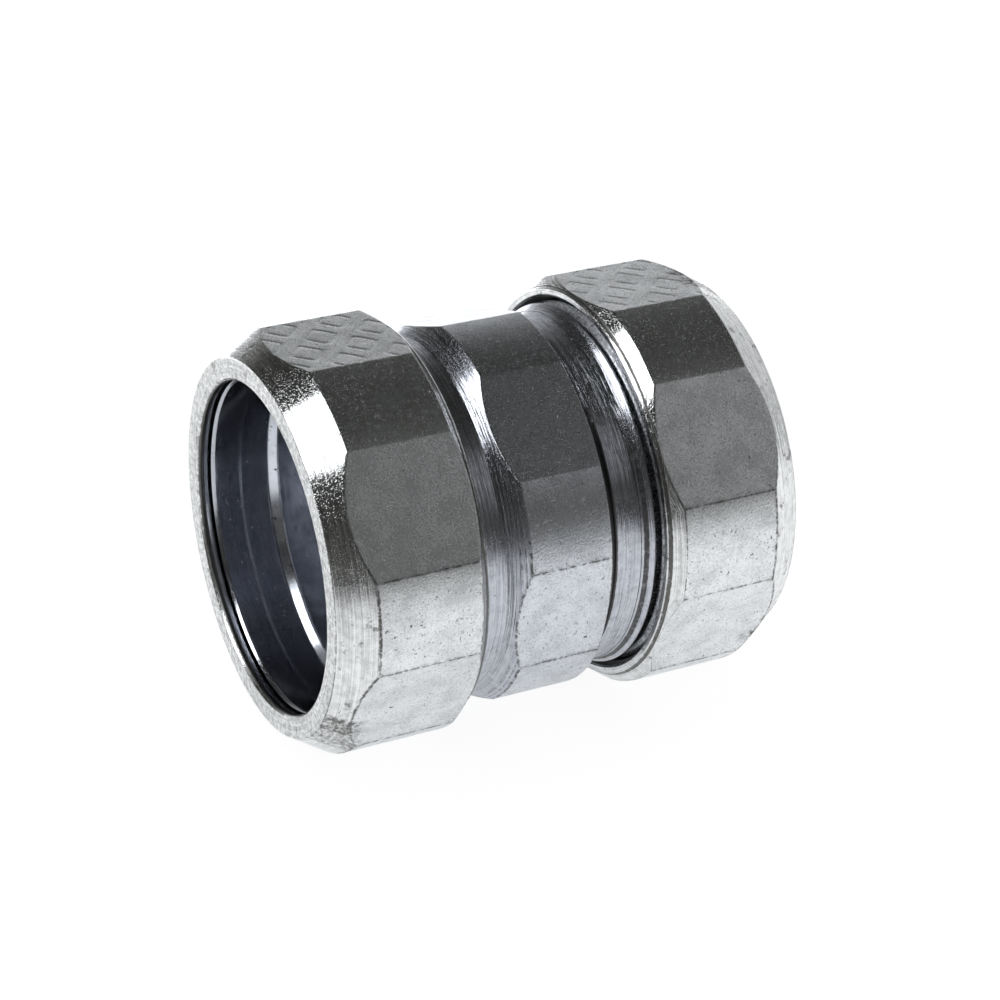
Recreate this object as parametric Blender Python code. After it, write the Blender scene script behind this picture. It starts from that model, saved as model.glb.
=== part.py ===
"""Compression coupling for 1-1/4 in thin-wall steel conduit (EMT).

Five separate pieces share one axis: a turned body with wrench flats, a split
compression ring in each mouth, and a gland nut screwed over each ring.

Frame: origin at the centre of the coupling, +X along the conduit, +Z up.
Lengths are in millimetres until the vertices are placed in metres.
Angles about the axis start at +Z and grow by the right-hand rule about +X.
"""
import math

import bmesh
import bpy

MM = 0.001
TURN = 2.0 * math.pi

# Hexagonal section: six wrench flats with turned, rounded corners between them.
SIDES = 6
SECTOR = TURN / SIDES
FLAT_HALF = math.radians(16.84)
CORNER_HALF = SECTOR / 2.0 - FLAT_HALF
FLAT_STEPS = 4
CORNER_STEPS = 6

# Thread shared by the body and the nuts, right-handed at both ends.
PITCH = 2.0
BODY_THREAD = {"root_r": 21.20, "crest_r": 22.10, "rows": (0.0, 0.45, 1.05, 1.40)}
NUT_THREAD = {"root_r": 22.35, "crest_r": 21.45, "rows": (0.0, 0.334, 0.903, 1.432)}
BODY_GROOVE_MID = 0.225
NUT_RIDGE_MID = 1.1675

# Body.
BODY_FLAT_R = 22.24
BODY_PHASE = math.radians(-17.4)
NECK_R = BODY_THREAD["root_r"]
CONE_START_X = -7.95
CONE_RUN_PER_RISE = 1.08
SHOULDER_X = 5.10
SHOULDER_R = 21.90
SHOULDER_BEVEL = 0.485
UNDERCUT_X = 6.05
UNDERCUT_R = 20.90
UNDERCUT_SLOPE = 0.25
RAMP_PROFILE = (
    (8.70, NECK_R),
    (9.60, 21.38),
    (10.10, 21.65),
    (10.50, 22.05),
    (10.76, 22.05),
    (10.88, NECK_R),
)
BODY_END_X = 21.30
BODY_END_R = 20.95
END_BEVEL = 0.25
BODY_THREAD_TURNS = 4
BODY_THREAD_NEAR = 11.00
THREAD_MARGIN = 0.10
MOUTH_R = 20.75
MOUTH_DEPTH = 2.40
BORE_R = 19.35
STOP_R = 18.30
STOP_HALF = 1.50

# Gland nut, measured outwards from the coupling's centre.
NUT_FLAT_R = 24.00
NUT_FACE_X = 29.30
NUT_FACE_R = 22.35
NUT_CHAMFER_RUN = 1.543
OPENING_R = 19.60
OPENING_BEVEL = 0.40
LIP_INNER_X = 28.40
SEAT_END_R = 22.00
SEAT_RUN_PER_RISE = 1.715
RELIEF_R = 22.45
RELIEF_END_X = 21.00
RELIEF_STEP = 0.15
NUT_THREAD_TURNS = 3
NUT_THREAD_NEAR = 12.70
MOUTH_SINK_X = 12.40
NUT_MOUTH_X = 11.30
NUT_MOUTH_R = 22.98
LIP_FACE_R = 23.62
LIP_ROUND_X = 11.40
LIP_ROUND_R = 23.72
LIP_X = 11.80
LIP_R = 23.95
NUT_BACK_RUN = 1.0
NUT_MID_X = 20.30
LEFT_NUT_PHASE = 0.0
RIGHT_NUT_PHASE = math.radians(-1.5)

# Split compression ring, measured outwards from the coupling's centre.
RING_PROFILE = (
    (26.35, 19.40),
    (27.45, 19.66),
    (27.45, 19.82),
    (26.30, 20.45),
    (21.90, 20.45),
    (20.35, 19.60),
    (20.35, 19.40),
)
RING_MID_X = 23.90
RING_COLUMNS = 54
SPLIT_WIDTH = 1.50
LEFT_SPLIT_ANGLE = math.radians(65.0)
RIGHT_SPLIT_ANGLE = math.radians(215.0)

SHARP_ANGLE = math.radians(25.0)


def clear_scene():
    for obj in list(bpy.data.objects):
        bpy.data.objects.remove(obj, do_unlink=True)


def column_angles(phase):
    """Angles of the mesh columns, with one column on every edge of a flat."""
    angles = []
    for side in range(SIDES):
        start = phase + side * SECTOR - FLAT_HALF
        for step in range(FLAT_STEPS):
            angles.append(start + 2.0 * FLAT_HALF * step / FLAT_STEPS)
        start += 2.0 * FLAT_HALF
        for step in range(CORNER_STEPS):
            angles.append(start + 2.0 * CORNER_HALF * step / CORNER_STEPS)
    return angles


def outline_radius(angle, phase, flat_r):
    """Distance from the axis to the round-cornered hexagon at this angle."""
    local = (angle - phase + FLAT_HALF) % SECTOR - FLAT_HALF
    return flat_r / math.cos(min(local, FLAT_HALF))


class Skin:
    """Vertices and faces of one piece, built as rings around the X axis."""

    def __init__(self, angles, mid_x):
        self.angles = angles
        self.mid_x = mid_x
        self.verts = []
        self.faces = []

    def add(self, x, radius, angle):
        y = -radius * math.sin(angle)
        z = radius * math.cos(angle)
        self.verts.append(((x - self.mid_x) * MM, y * MM, z * MM))
        return len(self.verts) - 1

    def circle(self, x, radius):
        return [self.add(x, radius, angle) for angle in self.angles]

    def outline(self, x_at, radius_at):
        """Ring whose x and radius change with the angle."""
        ring = []
        for angle in self.angles:
            radius = radius_at(angle)
            ring.append(self.add(x_at(radius), radius, angle))
        return ring

    def band(self, ring_a, ring_b):
        count = len(ring_a)
        for i in range(count):
            j = (i + 1) % count
            self.faces.append((ring_a[i], ring_a[j], ring_b[j], ring_b[i]))

    def bands(self, rings):
        for ring_a, ring_b in zip(rings, rings[1:]):
            self.band(ring_a, ring_b)

    def thread(self, low_ring, high_ring, start_x, turns, form):
        """Helical ridge between two plain rings, blunt at both ends."""
        per_turn = len(form["rows"])
        rows = []
        for index in range(turns * per_turn + 1):
            step = index % per_turn
            radius = form["root_r"] if step < 2 else form["crest_r"]
            x = start_x + index // per_turn * PITCH + form["rows"][step]
            rows.append(self.helix_row(x, radius))
        self.thread_quads(rows, per_turn)
        self.thread_start(rows, low_ring, start_x, form)
        self.thread_finish(rows, high_ring, start_x + turns * PITCH, form)

    def helix_x(self, x, angle):
        return x + PITCH * (angle - self.angles[0]) / TURN

    def helix_row(self, x, radius):
        return [self.add(self.helix_x(x, angle), radius, angle) for angle in self.angles]

    def thread_quads(self, rows, per_turn):
        last = len(self.angles) - 1
        for low, high in zip(rows, rows[1:]):
            for i in range(last):
                self.faces.append((low[i], low[i + 1], high[i + 1], high[i]))
        for index in range(len(rows) - per_turn - 1):
            low = rows[index]
            high = rows[index + 1]
            next_low = rows[index + per_turn]
            next_high = rows[index + per_turn + 1]
            self.faces.append((low[last], next_low[0], next_high[0], high[last]))

    def thread_start(self, rows, ring, start_x, form):
        """The ridge grows out of the plain root within one column."""
        row = rows[0]
        last = len(row) - 1
        before = self.angles[last] - TURN
        steps = form["rows"]
        feet = []
        for step in steps:
            feet.append(self.add(self.helix_x(start_x + step, before), form["root_r"], before))
        feet.append(row[last])
        for i in range(last - 1):
            self.faces.append((ring[i], ring[i + 1], row[i + 1], row[i]))
        self.faces.append((ring[last - 1], ring[last], row[last - 1]))
        self.faces.append((row[last - 1], ring[last], feet[0]))
        self.faces.append((ring[last], ring[0], row[0], feet[0]))
        for index in range(len(steps)):
            self.faces.append((row[last - 1], feet[index], feet[index + 1]))
            pair = (rows[index][0], rows[index + 1][0])
            self.faces.append((feet[index], pair[0], pair[1], feet[index + 1]))

    def thread_finish(self, rows, ring, finish_x, form):
        """The ridge sinks back into the plain root within one column."""
        row = rows[-1]
        last = len(row) - 1
        steps = form["rows"][1:] + (PITCH,)
        feet = [row[0]]
        for step in steps:
            feet.append(self.add(finish_x + step, form["root_r"], self.angles[0]))
        for i in range(1, last):
            self.faces.append((row[i], row[i + 1], ring[i + 1], ring[i]))
        self.faces.append((row[1], ring[1], ring[0]))
        self.faces.append((row[1], ring[0], feet[-1]))
        self.faces.append((row[last], feet[-1], ring[0], ring[last]))
        ends = rows[-len(feet):]
        for index in range(len(steps)):
            self.faces.append((row[1], feet[index + 1], feet[index]))
            pair = (ends[index][last], ends[index + 1][last])
            self.faces.append((pair[0], feet[index], feet[index + 1], pair[1]))


def make_material(name, color, roughness):
    material = bpy.data.materials.new(name)
    material.use_nodes = True
    shader = material.node_tree.nodes["Principled BSDF"]
    shader.inputs["Base Color"].default_value = (*color, 1.0)
    shader.inputs["Metallic"].default_value = 1.0
    shader.inputs["Roughness"].default_value = roughness
    return material


def make_object(name, skin, color, roughness):
    mesh = bpy.data.meshes.new(name)
    mesh.from_pydata(skin.verts, [], skin.faces)
    work = bmesh.new()
    work.from_mesh(mesh)
    bmesh.ops.recalc_face_normals(work, faces=work.faces)
    work.to_mesh(mesh)
    work.free()
    mesh.shade_smooth()
    mesh.set_sharp_from_angle(angle=SHARP_ANGLE)
    mesh.materials.append(make_material(name, color, roughness))
    obj = bpy.data.objects.new(name, mesh)
    obj.location = (skin.mid_x * MM, 0.0, 0.0)
    bpy.context.scene.collection.objects.link(obj)
    return obj


def body_thread_start(side):
    """Where the body's helix starts, at the body's first column."""
    if side > 0:
        return BODY_THREAD_NEAR
    return -BODY_THREAD_NEAR - (BODY_THREAD_TURNS + 1) * PITCH


def body_end_rings(skin, side):
    """Plain rings on both sides of one thread, lowest x first."""
    start = body_thread_start(side)
    finish = start + (BODY_THREAD_TURNS + 1) * PITCH
    low = skin.circle(start - THREAD_MARGIN, NECK_R)
    high = skin.circle(finish + THREAD_MARGIN, NECK_R)
    skin.thread(low, high, start, BODY_THREAD_TURNS, BODY_THREAD)
    return low, high


def body_bore_rings(skin):
    """Bore from the right mouth to the left one, over the conduit stop."""
    half = []
    half.append((BODY_END_X, MOUTH_R))
    half.append((BODY_END_X - MOUTH_DEPTH, BORE_R))
    half.append((STOP_HALF, BORE_R))
    half.append((STOP_HALF, STOP_R))
    stations = half + [(-x, radius) for x, radius in reversed(half)]
    return [skin.circle(x, radius) for x, radius in stations]


def build_body():
    skin = Skin(column_angles(BODY_PHASE), 0.0)
    left_low, left_high = body_end_rings(skin, -1)
    right_low, right_high = body_end_rings(skin, 1)

    def section(angle):
        return outline_radius(angle, BODY_PHASE, BODY_FLAT_R)

    def cone_x(radius):
        return CONE_START_X + (radius - NECK_R) * CONE_RUN_PER_RISE

    def bevel_x(radius):
        return SHOULDER_X - (radius - SHOULDER_R) * SHOULDER_BEVEL

    middle = [left_high, skin.circle(CONE_START_X, NECK_R)]
    middle.append(skin.outline(cone_x, section))
    middle.append(skin.outline(bevel_x, section))
    middle.append(skin.circle(SHOULDER_X, SHOULDER_R))
    middle.append(skin.circle(SHOULDER_X, UNDERCUT_R))
    middle.append(skin.circle(UNDERCUT_X - UNDERCUT_SLOPE, UNDERCUT_R))
    middle.append(skin.circle(UNDERCUT_X, NECK_R))
    middle.extend(skin.circle(x, radius) for x, radius in RAMP_PROFILE)
    middle.append(right_low)
    skin.bands(middle)
    right_end = skin.circle(BODY_END_X, BODY_END_R)
    left_end = skin.circle(-BODY_END_X, BODY_END_R)
    skin.bands([right_high, right_end] + body_bore_rings(skin) + [left_end, left_low])
    return make_object("coupling_body", skin, (0.46, 0.46, 0.48), 0.34)


def nut_columns(side, phase):
    """Column angles and helix start that put the nut's ridge in the groove.

    Starting the columns one wrench flat later moves the helix start by a
    sixth of the pitch, so the flat that gives the wanted start is used.
    """
    wanted = NUT_THREAD_NEAR
    if side < 0:
        wanted = -NUT_THREAD_NEAR - (NUT_THREAD_TURNS + 1) * PITCH
    body_first = column_angles(BODY_PHASE)[0]
    ridge = body_thread_start(side) + BODY_GROOVE_MID - NUT_RIDGE_MID
    best = None
    for sector in range(SIDES):
        angles = column_angles(phase + sector * SECTOR)
        start = ridge + PITCH * (angles[0] - body_first) / TURN
        start += round((wanted - start) / PITCH) * PITCH
        if best is None or abs(start - wanted) < abs(best[1] - wanted):
            best = (angles, start)
    return best


def nut_outer_rings(skin, side, phase):
    """Outside of the nut from its end face to its threaded mouth."""

    def section(angle):
        return outline_radius(angle, phase, NUT_FLAT_R)

    def chamfer_x(radius):
        return side * (NUT_FACE_X - (radius - NUT_FACE_R) * NUT_CHAMFER_RUN)

    def back_x(radius):
        return side * (LIP_X + (radius - LIP_R) * NUT_BACK_RUN)

    rings = [skin.circle(side * NUT_FACE_X, NUT_FACE_R)]
    rings.append(skin.outline(chamfer_x, section))
    rings.append(skin.outline(back_x, section))
    rings.append(skin.circle(side * LIP_X, LIP_R))
    rings.append(skin.circle(side * LIP_ROUND_X, LIP_ROUND_R))
    rings.append(skin.circle(side * NUT_MOUTH_X, LIP_FACE_R))
    rings.append(skin.circle(side * NUT_MOUTH_X, NUT_MOUTH_R))
    return rings


def nut_inner_rings(skin, side):
    """Inside of the nut from the thread relief to its end face."""
    seat_x = LIP_INNER_X - (SEAT_END_R - OPENING_R) * SEAT_RUN_PER_RISE
    stations = (
        (seat_x - RELIEF_STEP, RELIEF_R),
        (seat_x, SEAT_END_R),
        (LIP_INNER_X, OPENING_R),
        (NUT_FACE_X - OPENING_BEVEL, OPENING_R),
        (NUT_FACE_X, OPENING_R + OPENING_BEVEL),
    )
    return [skin.circle(side * x, radius) for x, radius in stations]


def build_nut(name, side, phase):
    angles, start = nut_columns(side, phase)
    skin = Skin(angles, side * NUT_MID_X)
    outer = nut_outer_rings(skin, side, phase)
    inner = nut_inner_rings(skin, side)
    root_r = NUT_THREAD["root_r"]
    mouth_end = skin.circle(side * MOUTH_SINK_X, root_r)
    relief = skin.circle(side * RELIEF_END_X, root_r)
    relief_step = skin.circle(side * (RELIEF_END_X + RELIEF_STEP), RELIEF_R)
    if side > 0:
        skin.thread(mouth_end, relief, start, NUT_THREAD_TURNS, NUT_THREAD)
    else:
        skin.thread(relief, mouth_end, start, NUT_THREAD_TURNS, NUT_THREAD)
    skin.bands(outer + [mouth_end])
    skin.bands([relief, relief_step] + inner + [outer[0]])
    return make_object(name, skin, (0.40, 0.41, 0.41), 0.38)


def build_ring(name, side, split_angle):
    """Split ring with a bevel at each end and one slit through the wall."""
    half_split = SPLIT_WIDTH / 2.0 / BORE_R
    span = TURN - 2.0 * half_split
    angles = []
    for index in range(RING_COLUMNS + 1):
        angles.append(split_angle + half_split + span * index / RING_COLUMNS)
    skin = Skin(angles, side * RING_MID_X)
    rows = [skin.circle(side * x, radius) for x, radius in RING_PROFILE]
    for row_a, row_b in zip(rows, rows[1:] + rows[:1]):
        for i in range(RING_COLUMNS):
            skin.faces.append((row_a[i], row_a[i + 1], row_b[i + 1], row_b[i]))
    skin.faces.append(tuple(row[0] for row in rows))
    skin.faces.append(tuple(row[-1] for row in reversed(rows)))
    return make_object(name, skin, (0.52, 0.52, 0.53), 0.30)


def main():
    clear_scene()
    build_body()
    build_nut("gland_nut_left", -1, LEFT_NUT_PHASE)
    build_nut("gland_nut_right", 1, RIGHT_NUT_PHASE)
    build_ring("compression_ring_left", -1, LEFT_SPLIT_ANGLE)
    build_ring("compression_ring_right", 1, RIGHT_SPLIT_ANGLE)


main()
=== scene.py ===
"""Looks of the conduit compression coupling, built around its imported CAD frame.

World units are metres. Lengths in the profiles below are millimetres, and
angles about the conduit's axis start at +Z and grow by the right-hand rule
about +X, as in the CAD.
"""
import math

import bmesh
import bpy
import numpy as np
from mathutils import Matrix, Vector


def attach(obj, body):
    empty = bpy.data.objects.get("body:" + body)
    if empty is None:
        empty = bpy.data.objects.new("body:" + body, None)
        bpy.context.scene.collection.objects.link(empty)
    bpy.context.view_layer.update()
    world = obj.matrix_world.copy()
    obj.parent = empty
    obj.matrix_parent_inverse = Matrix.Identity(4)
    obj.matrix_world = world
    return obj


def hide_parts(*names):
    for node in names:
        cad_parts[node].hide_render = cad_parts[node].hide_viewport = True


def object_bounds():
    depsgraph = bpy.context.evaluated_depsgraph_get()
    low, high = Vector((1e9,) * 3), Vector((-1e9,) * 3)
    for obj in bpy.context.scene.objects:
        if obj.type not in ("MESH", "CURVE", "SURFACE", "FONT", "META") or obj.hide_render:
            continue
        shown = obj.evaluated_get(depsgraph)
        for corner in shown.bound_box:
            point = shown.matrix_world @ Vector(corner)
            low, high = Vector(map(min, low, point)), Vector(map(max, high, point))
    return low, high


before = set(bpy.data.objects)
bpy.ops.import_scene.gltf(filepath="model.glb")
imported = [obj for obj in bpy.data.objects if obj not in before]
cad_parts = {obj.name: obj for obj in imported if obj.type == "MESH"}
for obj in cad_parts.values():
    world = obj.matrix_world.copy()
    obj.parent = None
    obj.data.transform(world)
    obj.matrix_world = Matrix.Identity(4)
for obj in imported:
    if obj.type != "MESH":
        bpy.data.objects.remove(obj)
CAD_LOW, CAD_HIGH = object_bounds()

MM = 0.001
TURN = 2.0 * math.pi

# ------------------------------------------------------------ driving sizes
# Both wrench sections are hexagons whose flats end in round, turned corners.
SIDES = 6
SECTOR = TURN / SIDES
FLAT_HALF = math.radians(16.84)
CORNER_HALF = SECTOR / 2.0 - FLAT_HALF
CORNER_STEP = math.radians(0.35)  # from an edge between flat and corner to the next column
CORNER_CUT = 0.012  # how much those edges are broken
EDGE_CUT = 0.015  # the same for the edges round the flats' ends

# Threads: the ridge's rise and fall over one pitch, and where each one starts.
PITCH = 2.0
BODY_THREAD = {"root_r": 21.20, "crest_r": 22.10, "rows": (0.0, 0.45, 1.05, 1.40)}
NUT_THREAD = {"root_r": 22.35, "crest_r": 21.45, "rows": (0.0, 0.334, 0.903, 1.432)}
BODY_THREAD_TURNS = 4
NUT_THREAD_TURNS = 3
BODY_THREAD_NEAR = 11.00
NUT_THREAD_NEAR = 12.70
BODY_GROOVE_MID = 0.225
NUT_RIDGE_MID = 1.1675
THREAD_ROWS = (2, 3, 2, 3)  # mesh rows on the groove, rising flank, crest and falling flank
THREAD_RUN_OUT = 0.03  # turns over which a ridge sinks at its ends
THREAD_MARGIN = 0.10
THREAD_GRIME = 0.6

# Body.
BODY_PHASE = math.radians(-17.4)
BODY_FLAT_R = 22.24
NECK_R = 21.20
NECK_END_X = 10.90
CONE_START_X = -7.60
CONE_START_R = 21.524
CONE_RUN_PER_RISE = 1.08
SHOULDER_X = 5.10
SHOULDER_R = 21.90
SHOULDER_BEVEL = 0.485
UNDERCUT_R = 20.90
BODY_END_X = 21.30
BODY_END_R = 20.95
MOUTH_R = 20.75
MOUTH_BOTTOM_X = 18.90
BORE_R = 19.35
STOP_R = 18.30
STOP_HALF = 1.50

# Nuts.
NUT_FLAT_R = 24.00
LEFT_PHASE = 0.0
RIGHT_PHASE = math.radians(-1.5)
FACE_X = 29.30
FACE_R = 22.35
OPENING_R = 19.60
OPENING_INNER_X = 28.40
CHAMFER_RUN = 1.543
LIP_X = 11.80
LIP_R = 23.95
NUT_MOUTH_X = 11.30
NUT_MOUTH_R = 22.98
MOUTH_SINK_X = 12.40
RELIEF_X = 21.00
RELIEF_R = 22.45
SEAT_END_R = 22.00
SEAT_RUN_PER_RISE = 1.715
MARK_MIDDLE_X = 20.0
MARK_DEPTH = 0.055

# Split rings.
RING_IN_R = 19.40
RING_OUT_R = 20.45
RING_BACK_X = 20.35
RING_FRONT_X = 27.45
RING_MID_X = 24.00
RING_COLUMNS = 241
SPLIT_WIDTH = 1.50
LEFT_SPLIT = math.radians(65.0)
RIGHT_SPLIT = math.radians(215.0)

# Material zones of every skin, and the level of dirt and painted shade at which the dark colour
# hides the metal.
FLATS, TURNED, THREAD, INSIDE = 0, 1, 2, 3
SOLID_DIRT_AND_SHADE = 2.0


# ----------------------------------------------------------------- sampling
def column_angles(phase, first_sector, fine_steps, flat_steps, corner_steps):
    """Angles of a skin's columns; the marked flat (sector 0) gets fine ones."""
    angles = []
    for side in range(SIDES):
        sector = (first_sector + side) % SIDES
        start = phase + (first_sector + side) * SECTOR - FLAT_HALF
        across = fine_steps if sector == 0 else flat_steps
        for width, steps in ((FLAT_HALF, across), (CORNER_HALF, corner_steps)):
            inner = 2.0 * width - 2.0 * CORNER_STEP
            angles.append(start)
            angles.extend(start + CORNER_STEP + inner * np.linspace(0.0, 1.0, steps))
            start += 2.0 * width
    return np.array(angles)


def edge_distance(angles, phase, flat_r):
    """Distance along the outline from the nearest edge of a flat."""
    local = (angles - phase + FLAT_HALF) % SECTOR
    nearest = np.minimum(np.abs(local), np.abs(local - 2.0 * FLAT_HALF))
    return flat_r * np.minimum(nearest, SECTOR - local)


def outline_radius(angles, phase, flat_r):
    """Distance from the axis to the round-cornered hexagon, its edges just broken."""
    local = (angles - phase + SECTOR / 2.0) % SECTOR - SECTOR / 2.0
    radius = flat_r / np.cos(np.minimum(np.abs(local), FLAT_HALF))
    on_edge = edge_distance(angles, phase, flat_r) < 1e-6
    return np.where(on_edge, radius - CORNER_CUT, radius)


def ring_noise(seed, angles, lowest=3, highest=60):
    """Irregular line round the part, about -1 to 1."""
    rng = np.random.default_rng(seed)
    total = np.zeros(len(angles))
    for k in range(lowest, highest):
        total += rng.normal() * np.cos(k * angles + rng.uniform(0.0, TURN)) / math.sqrt(k)
    return total / 2.2


def sheet_noise(seed, angles, rows, waves=40):
    """Irregular surface over the flats, about -1 to 1, for each row and column."""
    rng = np.random.default_rng(seed)
    total = np.zeros((rows, len(angles)))
    v = np.linspace(0.0, 1.0, rows)[:, None]
    for _ in range(waves):
        k = rng.integers(6, 40)
        m = rng.uniform(-3.0, 3.0)
        total += np.cos(k * angles[None, :] + m * TURN * v + rng.uniform(0.0, TURN))
    return total * math.sqrt(2.0 / waves)


def groove_noise(seed, spacing, count=200):
    """Turning marks: a random height for each distance along a profile."""
    heights = np.random.default_rng(seed).uniform(-1.0, 1.0, count)
    places = np.arange(count) * spacing

    def height(distance):
        return np.interp(distance, places, heights)

    return height


def rounded(corners, spacing=0.5, arc=5):
    """Dense polyline through (x, r) points, each rounded off by its third value."""
    points = [np.array(corner[:2], float) for corner in corners]
    line = [points[0]]
    for index in range(1, len(points) - 1):
        corner = points[index]
        size = corners[index][2]
        if size <= 0.0:
            line.append(corner)
            continue
        back = points[index - 1] - corner
        ahead = points[index + 1] - corner
        start = corner + back / np.linalg.norm(back) * size
        end = corner + ahead / np.linalg.norm(ahead) * size
        for t in np.linspace(0.0, 1.0, arc + 1):
            line.append((1 - t) ** 2 * start + 2 * t * (1 - t) * corner + t * t * end)
    line.append(points[-1])
    dense = [line[0]]
    for a, b in zip(line, line[1:]):
        steps = max(1, math.ceil(np.linalg.norm(b - a) / spacing))
        dense.extend(a + (b - a) * k / steps for k in range(1, steps + 1))
    return np.array(dense)


# -------------------------------------------------------------------- skins
class Lathe:
    """One closed skin made of rings about the X axis, in millimetres."""

    def __init__(self, angles):
        self.angles = np.asarray(angles)
        self.sin = np.sin(self.angles)
        self.cos = np.cos(self.angles)
        self.points = []
        self.along = []
        self.grime_and_shade = []
        self.count = 0
        self.faces = []
        self.zones = []

    def add(self, x, radius, along, grime_and_shade=0.0):
        """Ring of points; along and the level of grime and painted shade are read by the materials.
        """
        shape = self.sin.shape
        x, radius, along, grime_and_shade = (np.broadcast_to(v, shape) for v in (x, radius, along, grime_and_shade))
        self.points.append(np.stack([x, -radius * self.sin, radius * self.cos], axis=1))
        self.along.append(along)
        self.grime_and_shade.append(grime_and_shade)
        ring = np.arange(self.count, self.count + len(self.sin))
        self.count += len(self.sin)
        return ring

    def quads(self, a, b, c, d, zone):
        self.faces.extend(np.stack([a, b, c, d], axis=1).tolist())
        self.zones.extend([zone] * len(a))

    def face(self, corners, zone):
        self.faces.append([int(corner) for corner in corners])
        self.zones.append(zone)

    def band(self, ring_a, ring_b, zone, closed=True):
        if closed:
            self.quads(ring_a, np.roll(ring_a, -1), np.roll(ring_b, -1), ring_b, zone)
        else:
            self.quads(ring_a[:-1], ring_a[1:], ring_b[1:], ring_b[:-1], zone)

    def bands(self, rings, zone, closed=True):
        for ring_a, ring_b in zip(rings, rings[1:]):
            self.band(ring_a, ring_b, zone, closed)

    def profile(self, path, side, start_along, groove=None, depth=0.0, darkening=None):
        """Rings along an (x, r) polyline; grooves push them along its normal."""
        step = np.linalg.norm(np.diff(path, axis=0), axis=1)
        along = start_along + np.concatenate([[0.0], np.cumsum(step)])
        tangent = np.gradient(path, axis=0)
        tangent /= np.maximum(np.linalg.norm(tangent, axis=1)[:, None], 1e-9)
        rings = []
        for index, (x, radius) in enumerate(path):
            push = 0.0
            if groove is not None and 0 < index < len(path) - 1:
                push = -depth * (0.5 + 0.5 * groove(along[index]))
            out_x, out_r = -tangent[index][1], tangent[index][0]
            grime_and_shade = 0.0 if darkening is None else darkening(x, radius, self.angles)
            pushed_x, pushed_r = side * (x + out_x * push), radius + out_r * push
            rings.append(self.add(pushed_x, pushed_r, along[index], grime_and_shade))
        return rings

    def thread(self, low_ring, high_ring, start_x, turns, form):
        """Right-handed ridge between two plain rings; it rises and sinks at its ends.

        Every row runs one whole turn, so it ends where the row one pitch on starts.
        """
        edges = list(form["rows"]) + [PITCH]
        radii = (form["root_r"], form["root_r"], form["crest_r"], form["crest_r"])
        steps = []
        for index, parts in enumerate(THREAD_ROWS):
            ahead = radii[(index + 1) % 4]
            for t in np.arange(parts) / parts:
                x = edges[index] + (edges[index + 1] - edges[index]) * t
                steps.append((x, radii[index] + (ahead - radii[index]) * t))
        per_turn = len(steps)
        turn_at = (self.angles - self.angles[0]) / TURN
        rows = []
        for index in range(turns * per_turn + 1):
            turn, step = divmod(index, per_turn)
            done = turn + turn_at
            rise = np.clip(np.minimum(done, turns - done) / THREAD_RUN_OUT, 0.0, 1.0)
            radius = form["root_r"] + (steps[step][1] - form["root_r"]) * rise
            x = start_x + turn * PITCH + steps[step][0] + PITCH * turn_at
            rows.append(self.add(x, radius, x, THREAD_GRIME))
        self.bands(rows, THREAD, closed=False)
        first, last = rows[0], rows[-1]
        for index in range(len(rows) - per_turn - 1):
            ends, starts = rows[index : index + 2], rows[index + per_turn : index + per_turn + 2]
            self.face((ends[0][-1], starts[0][0], starts[1][0], ends[1][-1]), THREAD)
        self.band(low_ring, first, THREAD, closed=False)
        self.face((low_ring[-1], low_ring[0], first[0], first[-1]), THREAD)
        for index in range(per_turn):
            self.face((first[-1], rows[index][0], rows[index + 1][0]), THREAD)
        self.band(last, high_ring, THREAD, closed=False)
        self.face((last[-1], last[0], high_ring[0], high_ring[-1]), THREAD)
        for index in range(len(rows) - per_turn - 1, len(rows) - 1):
            self.face((last[0], rows[index + 1][-1], rows[index][-1]), THREAD)

    def build(self, name, materials):
        points = np.concatenate(self.points) * MM
        mesh = bpy.data.meshes.new(name)
        mesh.from_pydata(points.tolist(), [], self.faces)
        for material in materials:
            mesh.materials.append(material)
        mesh.polygons.foreach_set("material_index", self.zones)
        turn_outwards(mesh)
        for key, values in (("along", self.along), ("grime_and_shade", self.grime_and_shade)):
            attribute = mesh.attributes.new(key, "FLOAT", "POINT")
            attribute.data.foreach_set("value", np.concatenate(values).astype(np.float32))
        mesh.shade_smooth()
        set_area_normals(mesh)
        piece = bpy.data.objects.new(name, mesh)
        bpy.context.scene.collection.objects.link(piece)
        return piece


def turn_outwards(mesh):
    work = bmesh.new()
    work.from_mesh(mesh)
    bmesh.ops.recalc_face_normals(work, faces=work.faces)
    work.to_mesh(mesh)
    work.free()


def set_area_normals(mesh):
    """Normals weighted by face area keep the flats flat right up to their edges."""
    count = len(mesh.polygons)
    normals = np.empty(count * 3, np.float32)
    areas = np.empty(count, np.float32)
    totals = np.empty(count, np.int32)
    corners = np.empty(len(mesh.loops), np.int32)
    mesh.polygons.foreach_get("normal", normals)
    mesh.polygons.foreach_get("area", areas)
    mesh.polygons.foreach_get("loop_total", totals)
    mesh.loops.foreach_get("vertex_index", corners)
    weighted = (normals.reshape(-1, 3) * areas[:, None])[np.repeat(np.arange(count), totals)]
    size = len(mesh.vertices)
    sums = [np.bincount(corners, weighted[:, axis], size) for axis in range(3)]
    summed = np.stack(sums, axis=1)
    summed /= np.maximum(np.linalg.norm(summed, axis=1)[:, None], 1e-20)
    mesh.normals_split_custom_set_from_vertices(summed.tolist())


# ------------------------------------------------------------------- pieces
def body_thread_start(side):
    """Lowest x of the body's ridge: it runs on towards +X on both sides."""
    if side > 0:
        return BODY_THREAD_NEAR
    return -BODY_THREAD_NEAR - (BODY_THREAD_TURNS + 1) * PITCH


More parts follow.
